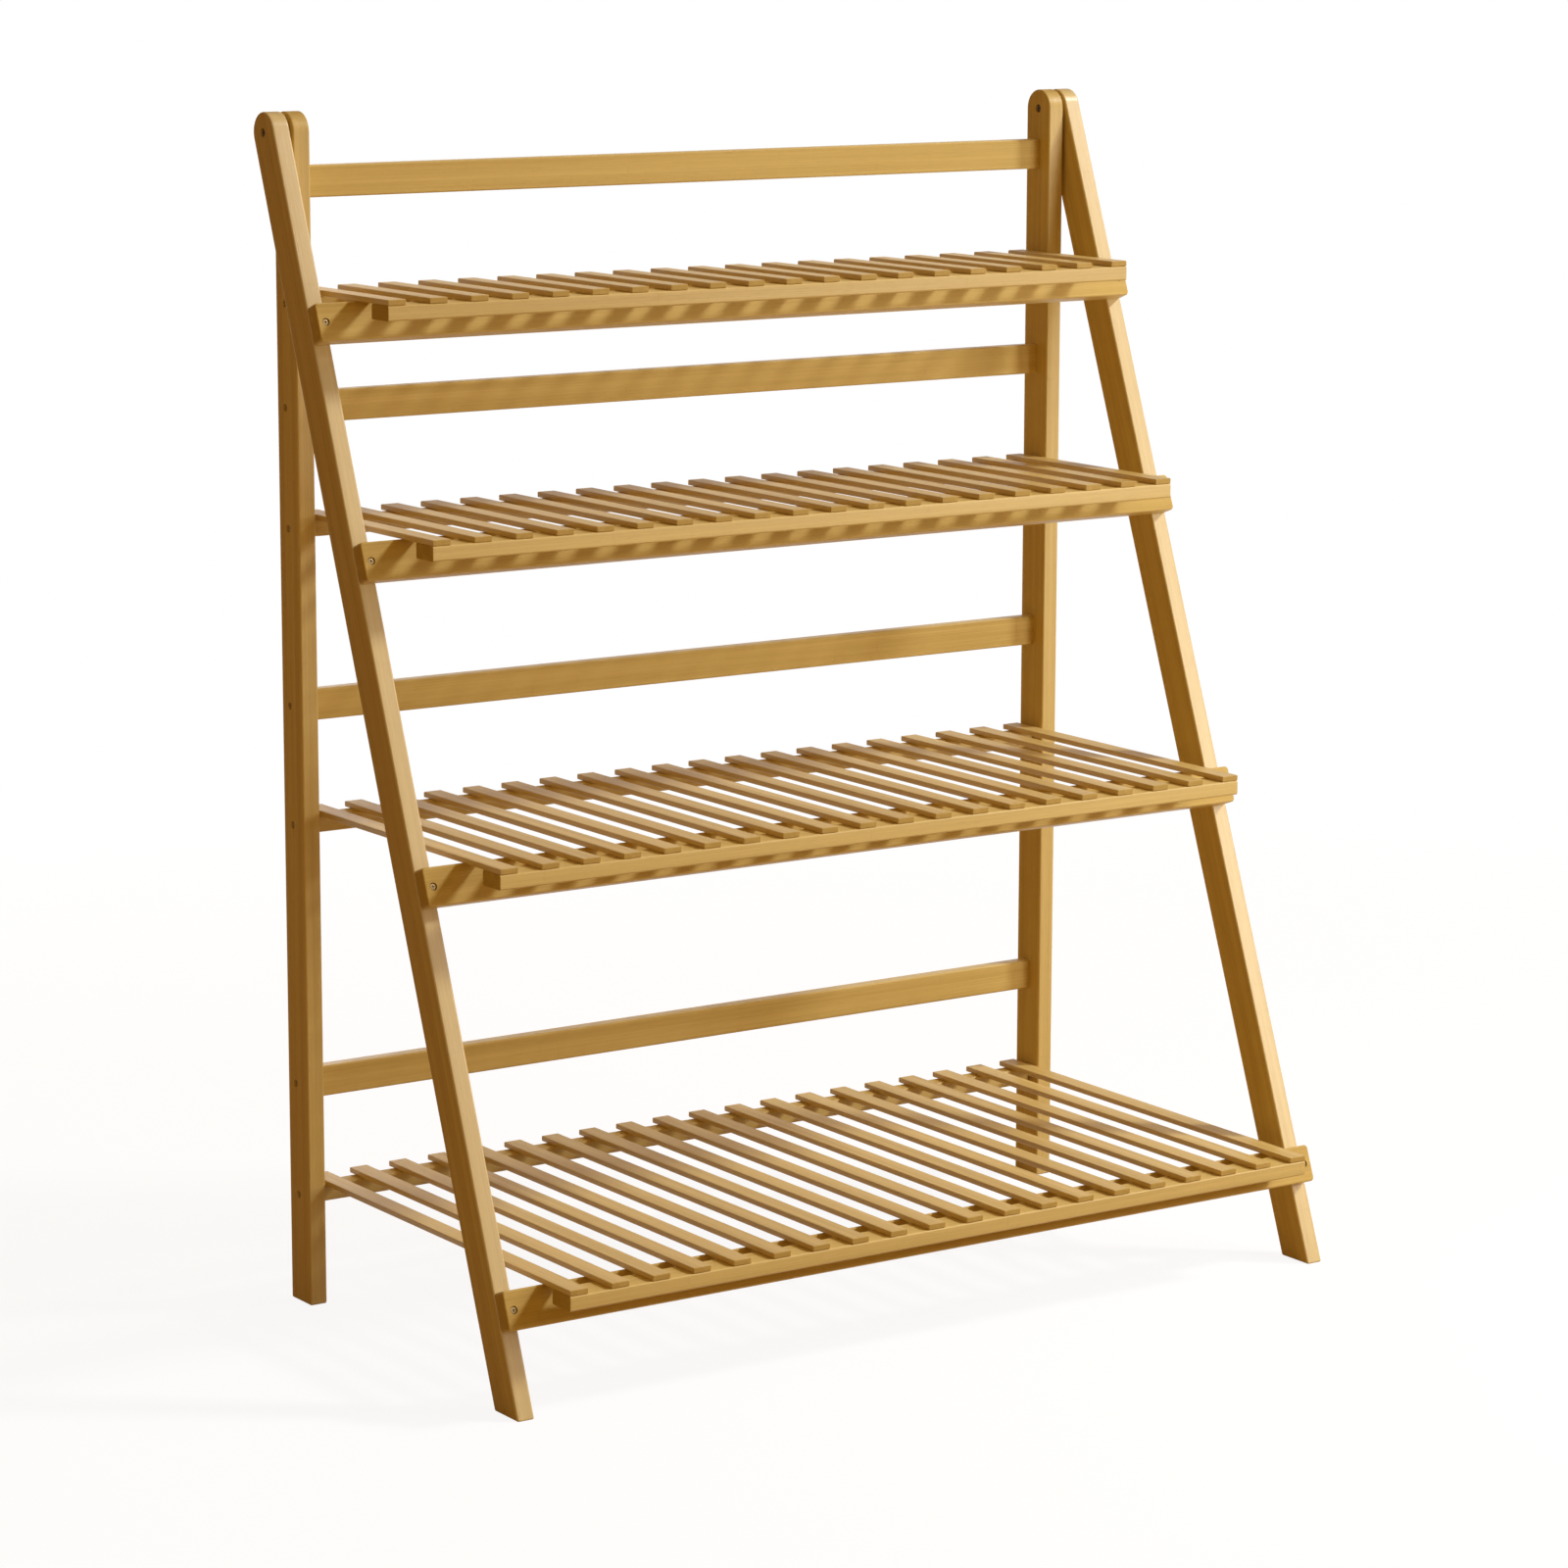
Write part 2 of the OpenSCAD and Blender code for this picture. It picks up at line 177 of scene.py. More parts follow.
paper = bpy.data.materials.new("white_floor")
paper.use_nodes = True
tree = paper.node_tree
tree.nodes.remove(tree.nodes["Principled BSDF"])
seen = seen_white(tree)
plain = add_node(tree, "ShaderNodeBsdfDiffuse", {"Color": FLOOR_LIGHT})
place = add_node(tree, "ShaderNodeTexCoord").outputs["Object"]
distance = add_node(tree, "ShaderNodeVectorMath", {0: place},
                    operation="LENGTH").outputs["Value"]
near = fade(tree, distance, SHADE_REACH, SHADE_CORE, "SMOOTHSTEP")
shade_tone = product(tree, near, FLOOR_SHADE)
glow_tone = sum_of(tree, 1.0, product(tree, near, FLOOR_GLOW - 1))
shade = add_node(tree, "ShaderNodeBsdfDiffuse", {"Color": shade_tone})
glow = add_node(tree, "ShaderNodeEmission", {"Color": WHITE, "Strength": glow_tone})
shown = add_node(tree, "ShaderNodeAddShader", {0: shade.outputs[0], 1: glow.outputs[0]})
both = add_node(tree, "ShaderNodeMixShader", {0: seen, 1: plain.outputs[0], 2: shown.outputs[0]})
tree.links.new(both.outputs[0], tree.nodes["Material Output"].inputs["Surface"])

bm = bmesh.new()
bmesh.ops.create_grid(bm, x_segments=1, y_segments=1, size=FLOOR_SIZE / 2)
floor_mesh = bpy.data.meshes.new("floor")
bm.to_mesh(floor_mesh)
bm.free()
floor_mesh.materials.append(paper)
floor = bpy.data.objects.new("floor", floor_mesh)
scene.collection.objects.link(floor)


# Rear uprights: two boards of laminated bamboo, stood on end, with round tops
# and rounded edges. They are drilled for the rail screws, the shelf pivots and
# the leg pivots, and finished with a clear satin varnish.
BOARD_EDGE = 0.0016
EDGE_STEPS = 4
SHARP_ANGLE = math.radians(50)
SMOOTH_ANGLE = math.radians(40)
ROUND_STEPS = 14
HOLE_STEPS = 28
SCREW_POCKET = 0.0031
SCREW_POCKET_DEPTH = 0.0044
SCREW_HOLE = 0.0018
PIVOT_POCKET = 0.0036
PIVOT_POCKET_DEPTH = 0.0035
PIVOT_HOLE = 0.00255
# How far the drills go past the wood, and the slack in picking out edges
PAST = 0.001
TOP_WELD = 1e-6

# The width of the glued strips, the varnish's sheen on wide and on narrow
# faces, how much the boards differ, and the slopes at which a sawn end begins
BOARD_STRIP = 0.0062
BOARD_SHEEN = 0.02
NARROW_SHEEN = 0.35
STOCK_LENGTH = 9
TONE_SPREAD = 0.5
END_FROM = 0.5
END_FULL = 0.9

# Length along the grain, width across it and detail of the grain's streaks
BAND_STREAKS = (0.5, 0.007, 2.0)
FIBRE_STREAKS = (0.16, 0.0011, 4.0)
PORE_STREAKS = (0.011, 0.00045, 1.0)
STREAK_ROUGHNESS = 0.6
PORE_FROM = 0.06
PORE_FULL = 0.2
LAYER_RATIO = 1.3
LAYER_SHIFT = 31.0
KNUCKLE_SPACING = 0.15
KNUCKLE_SHIFT = 0.6
KNUCKLE_WOBBLE = 0.004
KNUCKLE_EDGE = 0.0018
KNUCKLE_CORE = 0.0005

# How far each feature takes the colour from the light tone to the dark one
MIDDLE_DEPTH = 0.42
BAND_DEPTH = 0.75
FIBRE_DEPTH = 0.7
STRIP_DEPTH = 0.2
PORE_DEPTH = 0.16
KNUCKLE_DEPTH = 0.07
TONE_DEPTH = 0.25
END_DEPTH = 0.45
EDGE_DEPTH = -0.12

# The varnish's roughness and relief, and what fibres, ends and pores add
VARNISH_ROUGHNESS = 0.4
FIBRE_ROUGHNESS = 0.16
END_ROUGHNESS = 0.14
FIBRE_RELIEF = 0.8
PORE_RELIEF = -0.5
KNUCKLE_RELIEF = 0.08
RELIEF_STRENGTH = 0.22
RELIEF_DISTANCE = 0.0003


def paint(red, green, blue):
    """Colour of a shader from the tones that it shows, each 0 to 255."""
    tones = [tone / 255 for tone in (red, green, blue)]
    return (*[((tone + 0.055) / 1.055) ** 2.4 for tone in tones], 1)


def bamboo(name, light, dark, strip_width, face_sheen):
    """Varnished laminated bamboo. The boards carry their own measures along,
    across and through the grain, values for their tone, their sawn ends and
    their rounded edges, and the sheen of the varnish on their narrow faces."""
    material = bpy.data.materials.new(name)
    material.use_nodes = True
    tree = material.node_tree
    shader = tree.nodes["Principled BSDF"]
    grain = add_node(tree, "ShaderNodeAttribute", attribute_name="grain").outputs["Vector"]
    finish = add_node(tree, "ShaderNodeAttribute", attribute_name="finish").outputs["Vector"]
    along, across, through = add_node(tree, "ShaderNodeSeparateXYZ", {0: grain}).outputs
    tone, end, edge = add_node(tree, "ShaderNodeSeparateXYZ", {0: finish}).outputs
    sheen = add_node(tree, "ShaderNodeAttribute", attribute_name="sheen").outputs["Fac"]

    def streaks(length, width, detail):
        """Noise drawn out along the grain, with streaks of that size."""
        scaled = add_node(tree, "ShaderNodeMapping", {
            "Vector": grain, "Scale": (1 / length, 1 / width, 1 / width)})
        noise = add_node(tree, "ShaderNodeTexNoise", {
            "Vector": scaled.outputs[0], "Scale": 1.0, "Detail": detail,
            "Roughness": STREAK_ROUGHNESS})
        return sum_of(tree, noise.outputs[0], -0.5)

    bands = streaks(*BAND_STREAKS)
    fibres = streaks(*FIBRE_STREAKS)
    pores = fade(tree, streaks(*PORE_STREAKS), PORE_FROM, PORE_FULL)

    # The strips that the board is glued up from, each with a tone of its own
    row = product(tree, product(tree, across, strip_width, "DIVIDE"), 0.0, "FLOOR")
    layer = product(
        tree, product(tree, through, strip_width * LAYER_RATIO, "DIVIDE"), 0.0, "FLOOR")
    strip = sum_of(tree, row, product(tree, layer, LAYER_SHIFT))
    strip_tone = add_node(tree, "ShaderNodeTexWhiteNoise", {"W": strip},
                          noise_dimensions="1D").outputs["Value"]

    # The knuckles of the culm, a thin darker line across each strip
    place = sum_of(tree, along, product(tree, strip_tone, KNUCKLE_SHIFT),
                   product(tree, fibres, KNUCKLE_WOBBLE))
    knuckle = fade(tree, product(tree, place, KNUCKLE_SPACING, "PINGPONG"),
                   KNUCKLE_EDGE, KNUCKLE_CORE, "SMOOTHSTEP")

    def weighed(*features):
        """Sockets of features, each given with its weight."""
        return [product(tree, feature, weight) for feature, weight in features]

    depth = sum_of(tree, MIDDLE_DEPTH, *weighed(
        (bands, BAND_DEPTH), (fibres, FIBRE_DEPTH),
        (sum_of(tree, strip_tone, -0.5), STRIP_DEPTH), (pores, PORE_DEPTH),
        (knuckle, KNUCKLE_DEPTH), (tone, TONE_DEPTH), (end, END_DEPTH), (edge, EDGE_DEPTH)))
    tree.links.new(blend(tree, depth, light, dark), shader.inputs["Base Color"])

    gloss = sum_of(tree, VARNISH_ROUGHNESS, *weighed(
        (fibres, FIBRE_ROUGHNESS), (end, END_ROUGHNESS)))
    tree.links.new(gloss, shader.inputs["Roughness"])
    tree.links.new(sum_of(tree, sheen, face_sheen), shader.inputs["Specular IOR Level"])
    height = sum_of(tree, *weighed(
        (fibres, FIBRE_RELIEF), (pores, PORE_RELIEF), (knuckle, KNUCKLE_RELIEF)))
    bump = add_node(tree, "ShaderNodeBump", {
        "Height": height, "Strength": RELIEF_STRENGTH, "Distance": RELIEF_DISTANCE})
    tree.links.new(bump.outputs[0], shader.inputs["Normal"])
    return material


board_bamboo = bamboo("bamboo_boards", paint(226, 200, 128), paint(190, 160, 88),
                      BOARD_STRIP, BOARD_SHEEN)


def mesh_of(bm, name):
    """Mesh of a finished bmesh, which is freed."""
    mesh = bpy.data.meshes.new(name)
    bm.to_mesh(mesh)
    bm.free()
    return mesh


def round_over(bm, edges, radius, steps):
    """Rounds the given edges to a radius."""
    bmesh.ops.bevel(bm, geom=edges, offset=radius, offset_type="OFFSET", affect="EDGES",
                    segments=steps, profile=0.5, material=-1)


def sharp_edges(bm):
    """Edges at which two faces meet at a sharp angle."""
    return [e for e in bm.edges if e.is_manifold and e.calc_face_angle() > SHARP_ANGLE]


def cut_board(length, width, thickness):
    """Square board at the origin: length along X, width along Y."""
    bm = bmesh.new()
    bmesh.ops.create_cube(bm, size=1)
    bmesh.ops.scale(bm, vec=(length, width, thickness), verts=bm.verts)
    return bm


def round_end(bm, length, width):
    """Cuts the +X end of a square board to a full round."""
    corners = [e for e in bm.edges if all(
        v.co.x > length / 2 - PAST and abs(v.co.y) > width / 2 - PAST for v in e.verts)]
    corners = [e for e in corners if abs(e.verts[0].co.z - e.verts[1].co.z) > PAST]
    round_over(bm, corners, width / 2, ROUND_STEPS)
    bmesh.ops.remove_doubles(bm, verts=bm.verts, dist=TOP_WELD)


def cut_away(bm, tools):
    """Cuts the shapes of a second bmesh out of the first, and gives back what
    is left as a new bmesh."""
    blank = bpy.data.objects.new("blank", mesh_of(bm, "blank"))
    cutter = bpy.data.objects.new("cutter", mesh_of(tools, "cutter"))
    for thing in (blank, cutter):
        scene.collection.objects.link(thing)
    cut = blank.modifiers.new("cut", "BOOLEAN")
    cut.operation = "DIFFERENCE"
    cut.solver = "EXACT"
    cut.use_self = True
    cut.object = cutter
    rest = bpy.data.meshes.new_from_object(
        blank.evaluated_get(bpy.context.evaluated_depsgraph_get()))
    for thing in (blank, cutter):
        bpy.data.objects.remove(thing)
    bm = bmesh.new()
    bm.from_mesh(rest)
    bpy.data.meshes.remove(rest)
    return bm


def drill(bm, holes):
    """Drills a board. Each hole is a point, a direction and its steps, which
    are pairs of a radius and a depth; the board is given back as a bmesh."""
    tools = bmesh.new()
    for point, direction, steps in holes:
        turn = Vector(direction).to_track_quat("Z", "Y").to_matrix().to_4x4()
        for radius, depth in steps:
            middle = Matrix.Translation(Vector(point) + Vector(direction) * (depth - PAST) / 2)
            bmesh.ops.create_cone(
                tools, cap_ends=True, segments=HOLE_STEPS, radius1=radius, radius2=radius,
                depth=depth + PAST, matrix=middle @ turn)
    return cut_away(bm, tools)


chance = random.Random(7)


def stretch_of_stock():
    """A place in the bamboo stock and a tone, which give a board its grain."""
    shift = Vector([chance.uniform(0, STOCK_LENGTH) for _ in range(3)])
    return shift, chance.uniform(-TONE_SPREAD, TONE_SPREAD)


def mark_grain(bm, narrow_sheen=NARROW_SHEEN):
    """Gives a board lying at the origin its own measures along, across and
    through the grain, its tone, end and edge values and its sheen."""
    bm.normal_update()
    grain = bm.verts.layers.float_vector.new("grain")
    finish = bm.loops.layers.float_vector.new("finish")
    sheen = bm.loops.layers.float.new("sheen")
    shift, tone = stretch_of_stock()
    for vert in bm.verts:
        vert[grain] = vert.co + shift
    for face in bm.faces:
        end = min(max((abs(face.normal.x) - END_FROM) / (END_FULL - END_FROM), 0), 1)
        narrow = face.normal.y ** 2
        for loop in face.loops:
            loop[finish] = (tone, end, 1 - abs(2 * narrow - 1) - end)
            loop[sheen] = narrow * narrow_sheen


def finish_piece(bm, name, body, node, material):
    """Makes the piece an object, smooths its rounded edges, gives it its finish,
    hangs it from the body that carries it and hides the node that it stands for."""
    for face in bm.faces:
        face.smooth = True
    mesh = mesh_of(bm, name)
    mesh.set_sharp_from_angle(angle=SMOOTH_ANGLE)
    mesh.materials.append(material)
    piece = bpy.data.objects.new(name, mesh)
    scene.collection.objects.link(piece)
    level_faces = piece.modifiers.new("level_faces", "WEIGHTED_NORMAL")
    level_faces.keep_sharp = True
    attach(piece, body)
    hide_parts(node)


def centre(box):
    """Middle of a node's box."""
    return (box[0] + box[1]) / 2


def joint_place(name):
    """Point of the frame's joint with that name."""
    return Vector(next(j for j in frame["joints"] if j["name"] == name)["pos_m"])


SHELVES = (1, 2, 3, 4)
leg_pivot = joint_place("front_frame_fold")
shelf_pivots = [joint_place(f"shelf_{k}_lift") for k in SHELVES]
rail_boxes = [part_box(f"guard_rail_{k}") for k in SHELVES]
upright_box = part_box("rear_upright_right")
upright_size = upright_box[1] - upright_box[0]

for side, hand in (("left", -1), ("right", 1)):
    middle = centre(upright_box)
    middle.x *= hand
    # The board lies with its length along X, its top at +X; it is stood up so
    # that its width runs front to back and its upper face looks outwards
    stand = Matrix.Translation(middle) @ Matrix(
        ((0, 0, hand), (0, -hand, 0), (1, 0, 0))).to_4x4()
    lie = stand.inverted()
    bm = cut_board(upright_size.z, upright_size.y, upright_size.x)
    round_end(bm, upright_size.z, upright_size.y)
    round_over(bm, sharp_edges(bm), BOARD_EDGE, EDGE_STEPS)
    holes = []
    outwards = (lie.to_3x3() @ Vector((hand, 0, 0))).normalized()
    for spot in [centre(box) for box in rail_boxes] + shelf_pivots:
        mouth = lie @ Vector((hand * upright_box[1].x, spot.y, spot.z))
        holes.append((mouth, -outwards, (
            (SCREW_POCKET, SCREW_POCKET_DEPTH), (SCREW_HOLE, upright_size.x + PAST))))
    mouth = lie @ Vector((hand * upright_box[0].x, leg_pivot.y, leg_pivot.z))
    holes.append((mouth, outwards, (
        (PIVOT_POCKET, PIVOT_POCKET_DEPTH), (PIVOT_HOLE, upright_size.x + PAST))))
    bm = drill(bm, holes)
    mark_grain(bm)
    bm.transform(stand)
    finish_piece(bm, f"upright_{side}", "rear_frame",
                 f"rear_upright_{side}", board_bamboo)


# Guard rails: four flat bamboo boards between the uprights, one behind each
# shelf. They are cut square and butt against the uprights' inner faces.
END_EDGE = 0.0005
END_STEPS = 2


def straight_board(length, width, thickness, edge=BOARD_EDGE, end_edge=END_EDGE):
    """Board at the origin with rounded long edges and eased ends."""
    bm = cut_board(length, width, thickness)
    long_edges = [e for e in bm.edges if e.calc_length() > length - PAST]
    round_over(bm, long_edges, edge, EDGE_STEPS)
    round_over(bm, sharp_edges(bm), end_edge, END_STEPS)
    return bm


for k, box in zip(SHELVES, rail_boxes):
    size = box[1] - box[0]
    bm = straight_board(size.x, size.z, size.y)
    mark_grain(bm)
    bm.transform(Matrix.Translation(centre(box)) @ Matrix.Rotation(math.pi / 2, 4, "X"))
    finish_piece(bm, f"rail_{k}", "rear_frame",
                 f"guard_rail_{k}", board_bamboo)


# Rail screws: zinc-plated wood screws with a flat head and a cross recess,
# driven from the outer faces of the uprights into the ends of the rails and
# sunk a little below the wood.
HEAD_RADIUS = 0.0028
HEAD_HEIGHT = 0.0024
HEAD_RIM = 0.0013
# Depths below the head's top, with the share of its radius reached there
HEAD_CROWN = ((0, 0.78), (0.0003, 0.94), (0.0007, 1))
SHANK_RADIUS = 0.00175
THREAD_PITCH = 0.0016
THREAD_DEPTH = 0.0004
PLAIN_SHANK = 0.008
TIP_LENGTH = 0.005
RAIL_SCREW = 0.038
SIDE_RECESS = 0.002
LATHE_STEPS = 24
LATHE_WELD = 1e-7
CROSS_LENGTH = 0.0034
CROSS_WIDTH = 0.0009
CROSS_DEPTH = 0.0012
CROSS_TAPER = 0.7
CROSS_WELD = 4e-6
CROSS_SLIVER = 1e-6
STEEL_ROUGHNESS = 0.45
STEEL_SCRATCHES = 4000.0
MOTTLE_SCALE = 900.0
SCRATCH_ROUGHNESS = 0.2
SCRATCH_STRENGTH = 0.2
SCRATCH_DISTANCE = 0.00005


def metal(name, colour, shade, roughness, scratch_scale):
    """Plated metal with a mottled colour and fine scratches."""
    material = bpy.data.materials.new(name)
    material.use_nodes = True
    tree = material.node_tree
    shader = tree.nodes["Principled BSDF"]
    place = add_node(tree, "ShaderNodeTexCoord").outputs["Object"]
    mottle = add_node(tree, "ShaderNodeTexNoise", {
        "Vector": place, "Scale": MOTTLE_SCALE, "Detail": 3.0}).outputs[0]
    scratches = add_node(tree, "ShaderNodeTexNoise", {
        "Vector": place, "Scale": scratch_scale, "Detail": 2.0}).outputs[0]
    tree.links.new(blend(tree, mottle, colour, shade), shader.inputs["Base Color"])
    gloss = sum_of(tree, roughness, product(tree, scratches, SCRATCH_ROUGHNESS))
    tree.links.new(gloss, shader.inputs["Roughness"])
    bump = add_node(tree, "ShaderNodeBump", {
        "Height": scratches, "Strength": SCRATCH_STRENGTH, "Distance": SCRATCH_DISTANCE})
    tree.links.new(bump.outputs[0], shader.inputs["Normal"])
    shader.inputs["Metallic"].default_value = 1.0
    return material


steel = metal("zinc_steel", paint(184, 156, 108), paint(148, 122, 80),
              STEEL_ROUGHNESS, STEEL_SCRATCHES)


def turned(outline, steps=LATHE_STEPS):
    """Solid turned round the X axis from an outline of (x, radius) points."""
    bm = bmesh.new()
    points = [bm.verts.new((x, 0, radius)) for x, radius in outline]
    rim = [bm.edges.new(pair) for pair in zip(points, points[1:])]
    bmesh.ops.spin(bm, geom=points + rim, cent=(0, 0, 0), axis=(1, 0, 0),
                   angle=2 * math.pi, steps=steps, use_merge=True)
    bmesh.ops.remove_doubles(bm, verts=bm.verts, dist=LATHE_WELD)
    bmesh.ops.recalc_face_normals(bm, faces=bm.faces)
    return bm


def cross_recess(bm):
    """Mesh of a turned piece with a cross recess pressed into its head, whose
    top lies at x = 0. Points that the cut leaves close together are merged."""
    tools = bmesh.new()
    for size in ((CROSS_LENGTH, CROSS_WIDTH), (CROSS_WIDTH, CROSS_LENGTH)):
        arm = bmesh.ops.create_cube(tools, size=1)["verts"]
        bmesh.ops.scale(tools, vec=(2 * CROSS_DEPTH, *size), verts=arm)
        for vert in arm:
            if vert.co.x > 0:
                vert.co.y *= CROSS_TAPER
                vert.co.z *= CROSS_TAPER
    bm = cut_away(bm, tools)
    bmesh.ops.remove_doubles(bm, verts=bm.verts, dist=CROSS_WELD)
    bmesh.ops.dissolve_degenerate(bm, edges=bm.edges, dist=CROSS_SLIVER)
    return mesh_of(bm, "pressed")


def crown(radius, rise):
    """Outline of a head's low crown, from its middle to its full radius."""
    return [(0, 0)] + [(x, radius * share) for x, share in rise]


def thread(start, end, radius, pitch, depth):
    """Outline of a thread along a shank, as one ridge for each turn."""
    outline = []
    x = start
    while x < end:
        outline += [(x, radius - depth), (x + pitch / 2, radius)]
        x += pitch
    return outline


def wood_screw(length):
    """Mesh of a screw along +X whose head's top lies at x = 0."""
    point = HEAD_HEIGHT + length - TIP_LENGTH
    return cross_recess(turned([
        *crown(HEAD_RADIUS, HEAD_CROWN), (HEAD_RIM, HEAD_RADIUS), (HEAD_HEIGHT, SHANK_RADIUS),
        *thread(HEAD_HEIGHT + PLAIN_SHANK, point, SHANK_RADIUS, THREAD_PITCH, THREAD_DEPTH),
        (point, SHANK_RADIUS - THREAD_DEPTH), (HEAD_HEIGHT + length, 0)]))


def place_copies(mesh, places):
    """One bmesh with a copy of the mesh at each of the places."""
    bm = bmesh.new()
    for place in places:
        copy = mesh.copy()
        copy.transform(place)
        bm.from_mesh(copy)
        bpy.data.meshes.remove(copy)
    return bm


def side_places(spots, lift=0.0):
    """Places of screws in both uprights, heads outwards, at the spots' heights."""
    places = []
    for hand in (-1, 1):
        turn = Matrix.Rotation(math.pi, 4, "Z") if hand > 0 else Matrix.Identity(4)
        head = hand * (upright_box[1].x - SIDE_RECESS + lift)
        for spot in spots:
            places.append(Matrix.Translation((head, spot.y, spot.z)) @ turn)
    return places


rail_screw = wood_screw(RAIL_SCREW)
bm = place_copies(rail_screw, side_places([centre(box) for box in rail_boxes]))
finish_piece(bm, "rail_screws", "rear_frame", "guard_rail_screws", steel)


# Front legs: two bamboo boards outside the uprights, hung from the top pivots
# and slanted forwards. Their tops are a full round and their feet are cut
# level with the floor.
leg_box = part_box("front_leg_right")
crossbar_boxes = [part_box(f"crossbar_{k}") for k in SHELVES]
leg_width = upright_size.y
leg_thickness = leg_box[1].x - leg_box[0].x
bar_rise = centre(crossbar_boxes[0]) - centre(crossbar_boxes[3])
LEG_SLANT = math.atan2(bar_rise.y, bar_rise.z)
LEG_SHEEN = 1.0

for side, hand in (("left", -1), ("right", 1)):
    # Length along X with the pivot at x = 0; the board hangs down the slant
    down = Vector((0, -math.sin(LEG_SLANT), -math.cos(LEG_SLANT)))
    outward = Vector((hand, 0, 0))
    front = outward.cross(-down)
    hang = Matrix.Translation((hand * centre(leg_box).x, leg_pivot.y, leg_pivot.z)) @ Matrix(
        (-down, front, outward)).transposed().to_4x4()
    lie = hang.inverted()
    length = leg_pivot.z / math.cos(LEG_SLANT) + 2 * leg_width
    bm = cut_board(length, leg_width, leg_thickness)
    round_end(bm, length, leg_width)
    bmesh.ops.translate(bm, vec=(leg_width / 2 - length / 2, 0, 0), verts=bm.verts)
    floor_point = lie @ Vector((0, 0, 0))
    floor_up = lie.to_3x3() @ Vector((0, 0, 1))
    bmesh.ops.bisect_plane(
        bm, geom=bm.verts[:] + bm.edges[:] + bm.faces[:], plane_co=floor_point,
        plane_no=floor_up, clear_inner=True)
    bmesh.ops.holes_fill(bm, edges=bm.edges)
    bmesh.ops.recalc_face_normals(bm, faces=bm.faces)
    round_over(bm, sharp_edges(bm), BOARD_EDGE, EDGE_STEPS)
    mouth = lie @ Vector((hand * leg_box[1].x, leg_pivot.y, leg_pivot.z))
    inwards = (lie.to_3x3() @ -outward).normalized()
    bm = drill(bm, [(mouth, inwards, (
        (PIVOT_POCKET, PIVOT_POCKET_DEPTH), (PIVOT_HOLE, leg_thickness + PAST)))])
    mark_grain(bm, LEG_SHEEN)
    bm.transform(hang)
    finish_piece(bm, f"leg_{side}", "front_frame",
                 f"front_leg_{side}", board_bamboo)


# Crossbars: four bamboo boards screwed across the front faces of the legs,
# which carry the shelves. Their ends lie flush with the legs' outer faces and
# have rounded corners.
BAR_THICKNESS = 0.013
BAR_ROUND = 0.0015
BAR_CORNER = 0.003
BAR_RECESS = 0.0008
BAR_SCREW = 0.030

bar_tilt = Matrix.Rotation(-LEG_SLANT, 4, "X")
bar_screw_places = []
for k, box in zip(SHELVES, crossbar_boxes):
    size = box[1] - box[0]
    # The box of the slanted bar, less the edges' radius in the CAD, gives its height
    core = size.z - 2 * BAR_ROUND - (BAR_THICKNESS - 2 * BAR_ROUND) * math.sin(LEG_SLANT)
    height = core / math.cos(LEG_SLANT) + 2 * BAR_ROUND
    bm = cut_board(size.x, height, BAR_THICKNESS)
    corners = [e for e in bm.edges if abs(e.verts[0].co.z - e.verts[1].co.z) > PAST]
    round_over(bm, corners, BAR_CORNER, EDGE_STEPS)
    round_over(bm, sharp_edges(bm), BOARD_EDGE, EDGE_STEPS)
    lay = Matrix.Translation(centre(box)) @ bar_tilt @ Matrix.Rotation(math.pi / 2, 4, "X")
    holes = []
    for hand in (-1, 1):
        x = hand * centre(leg_box).x
        holes.append(((x, 0, BAR_THICKNESS / 2), Vector((0, 0, -1)), (
            (SCREW_POCKET, BAR_RECESS + HEAD_HEIGHT), (SCREW_HOLE, BAR_THICKNESS + PAST))))
        bar_screw_places.append(
            lay @ Matrix.Translation((x, 0, BAR_THICKNESS / 2 - BAR_RECESS))
            @ Matrix.Rotation(math.pi / 2, 4, "Y"))
    bm = drill(bm, holes)
    mark_grain(bm)
    bm.transform(lay)
    finish_piece(bm, f"bar_{k}", "front_frame",
                 f"crossbar_{k}", board_bamboo)


# Crossbar screws: the same wood screws, a little shorter, two to a crossbar,
# driven from the front into the middles of the legs.
bm = place_copies(wood_screw(BAR_SCREW), bar_screw_places)
finish_piece(bm, "bar_screws", "front_frame", "crossbar_screws", steel)


# Leg pivots: on each side a bolt from the outer face of the leg screws into a
# threaded sleeve from the inner face of the upright. Both are plated dark
# bronze, and a steel washer keeps the leg off the upright.
PIVOT_HEAD = 0.0033
PIVOT_CROWN = ((0, 0.8), (0.0003, 0.95), (0.0007, 1))
BOLT_HEAD_HEIGHT = 0.0017
SLEEVE_HEAD_HEIGHT = 0.002
PIVOT_RECESS = 0.0015
BOLT_RADIUS = 0.0017
BOLT_LENGTH = 0.018
BOLT_PLAIN = 0.002
BOLT_TIP = 0.8
SLEEVE_RADIUS = 0.0025
SLEEVE_BORE = 0.00155
SLEEVE_BEVEL = 0.0003
WASHER_HOLE = 0.0028
WASHER_BEVEL = 1 / 8
BRONZE_ROUGHNESS = 0.34
BRONZE_SCRATCHES = 3000.0

bronze = metal("dark_bronze", paint(104, 82, 56), paint(70, 54, 36),
               BRONZE_ROUGHNESS, BRONZE_SCRATCHES)

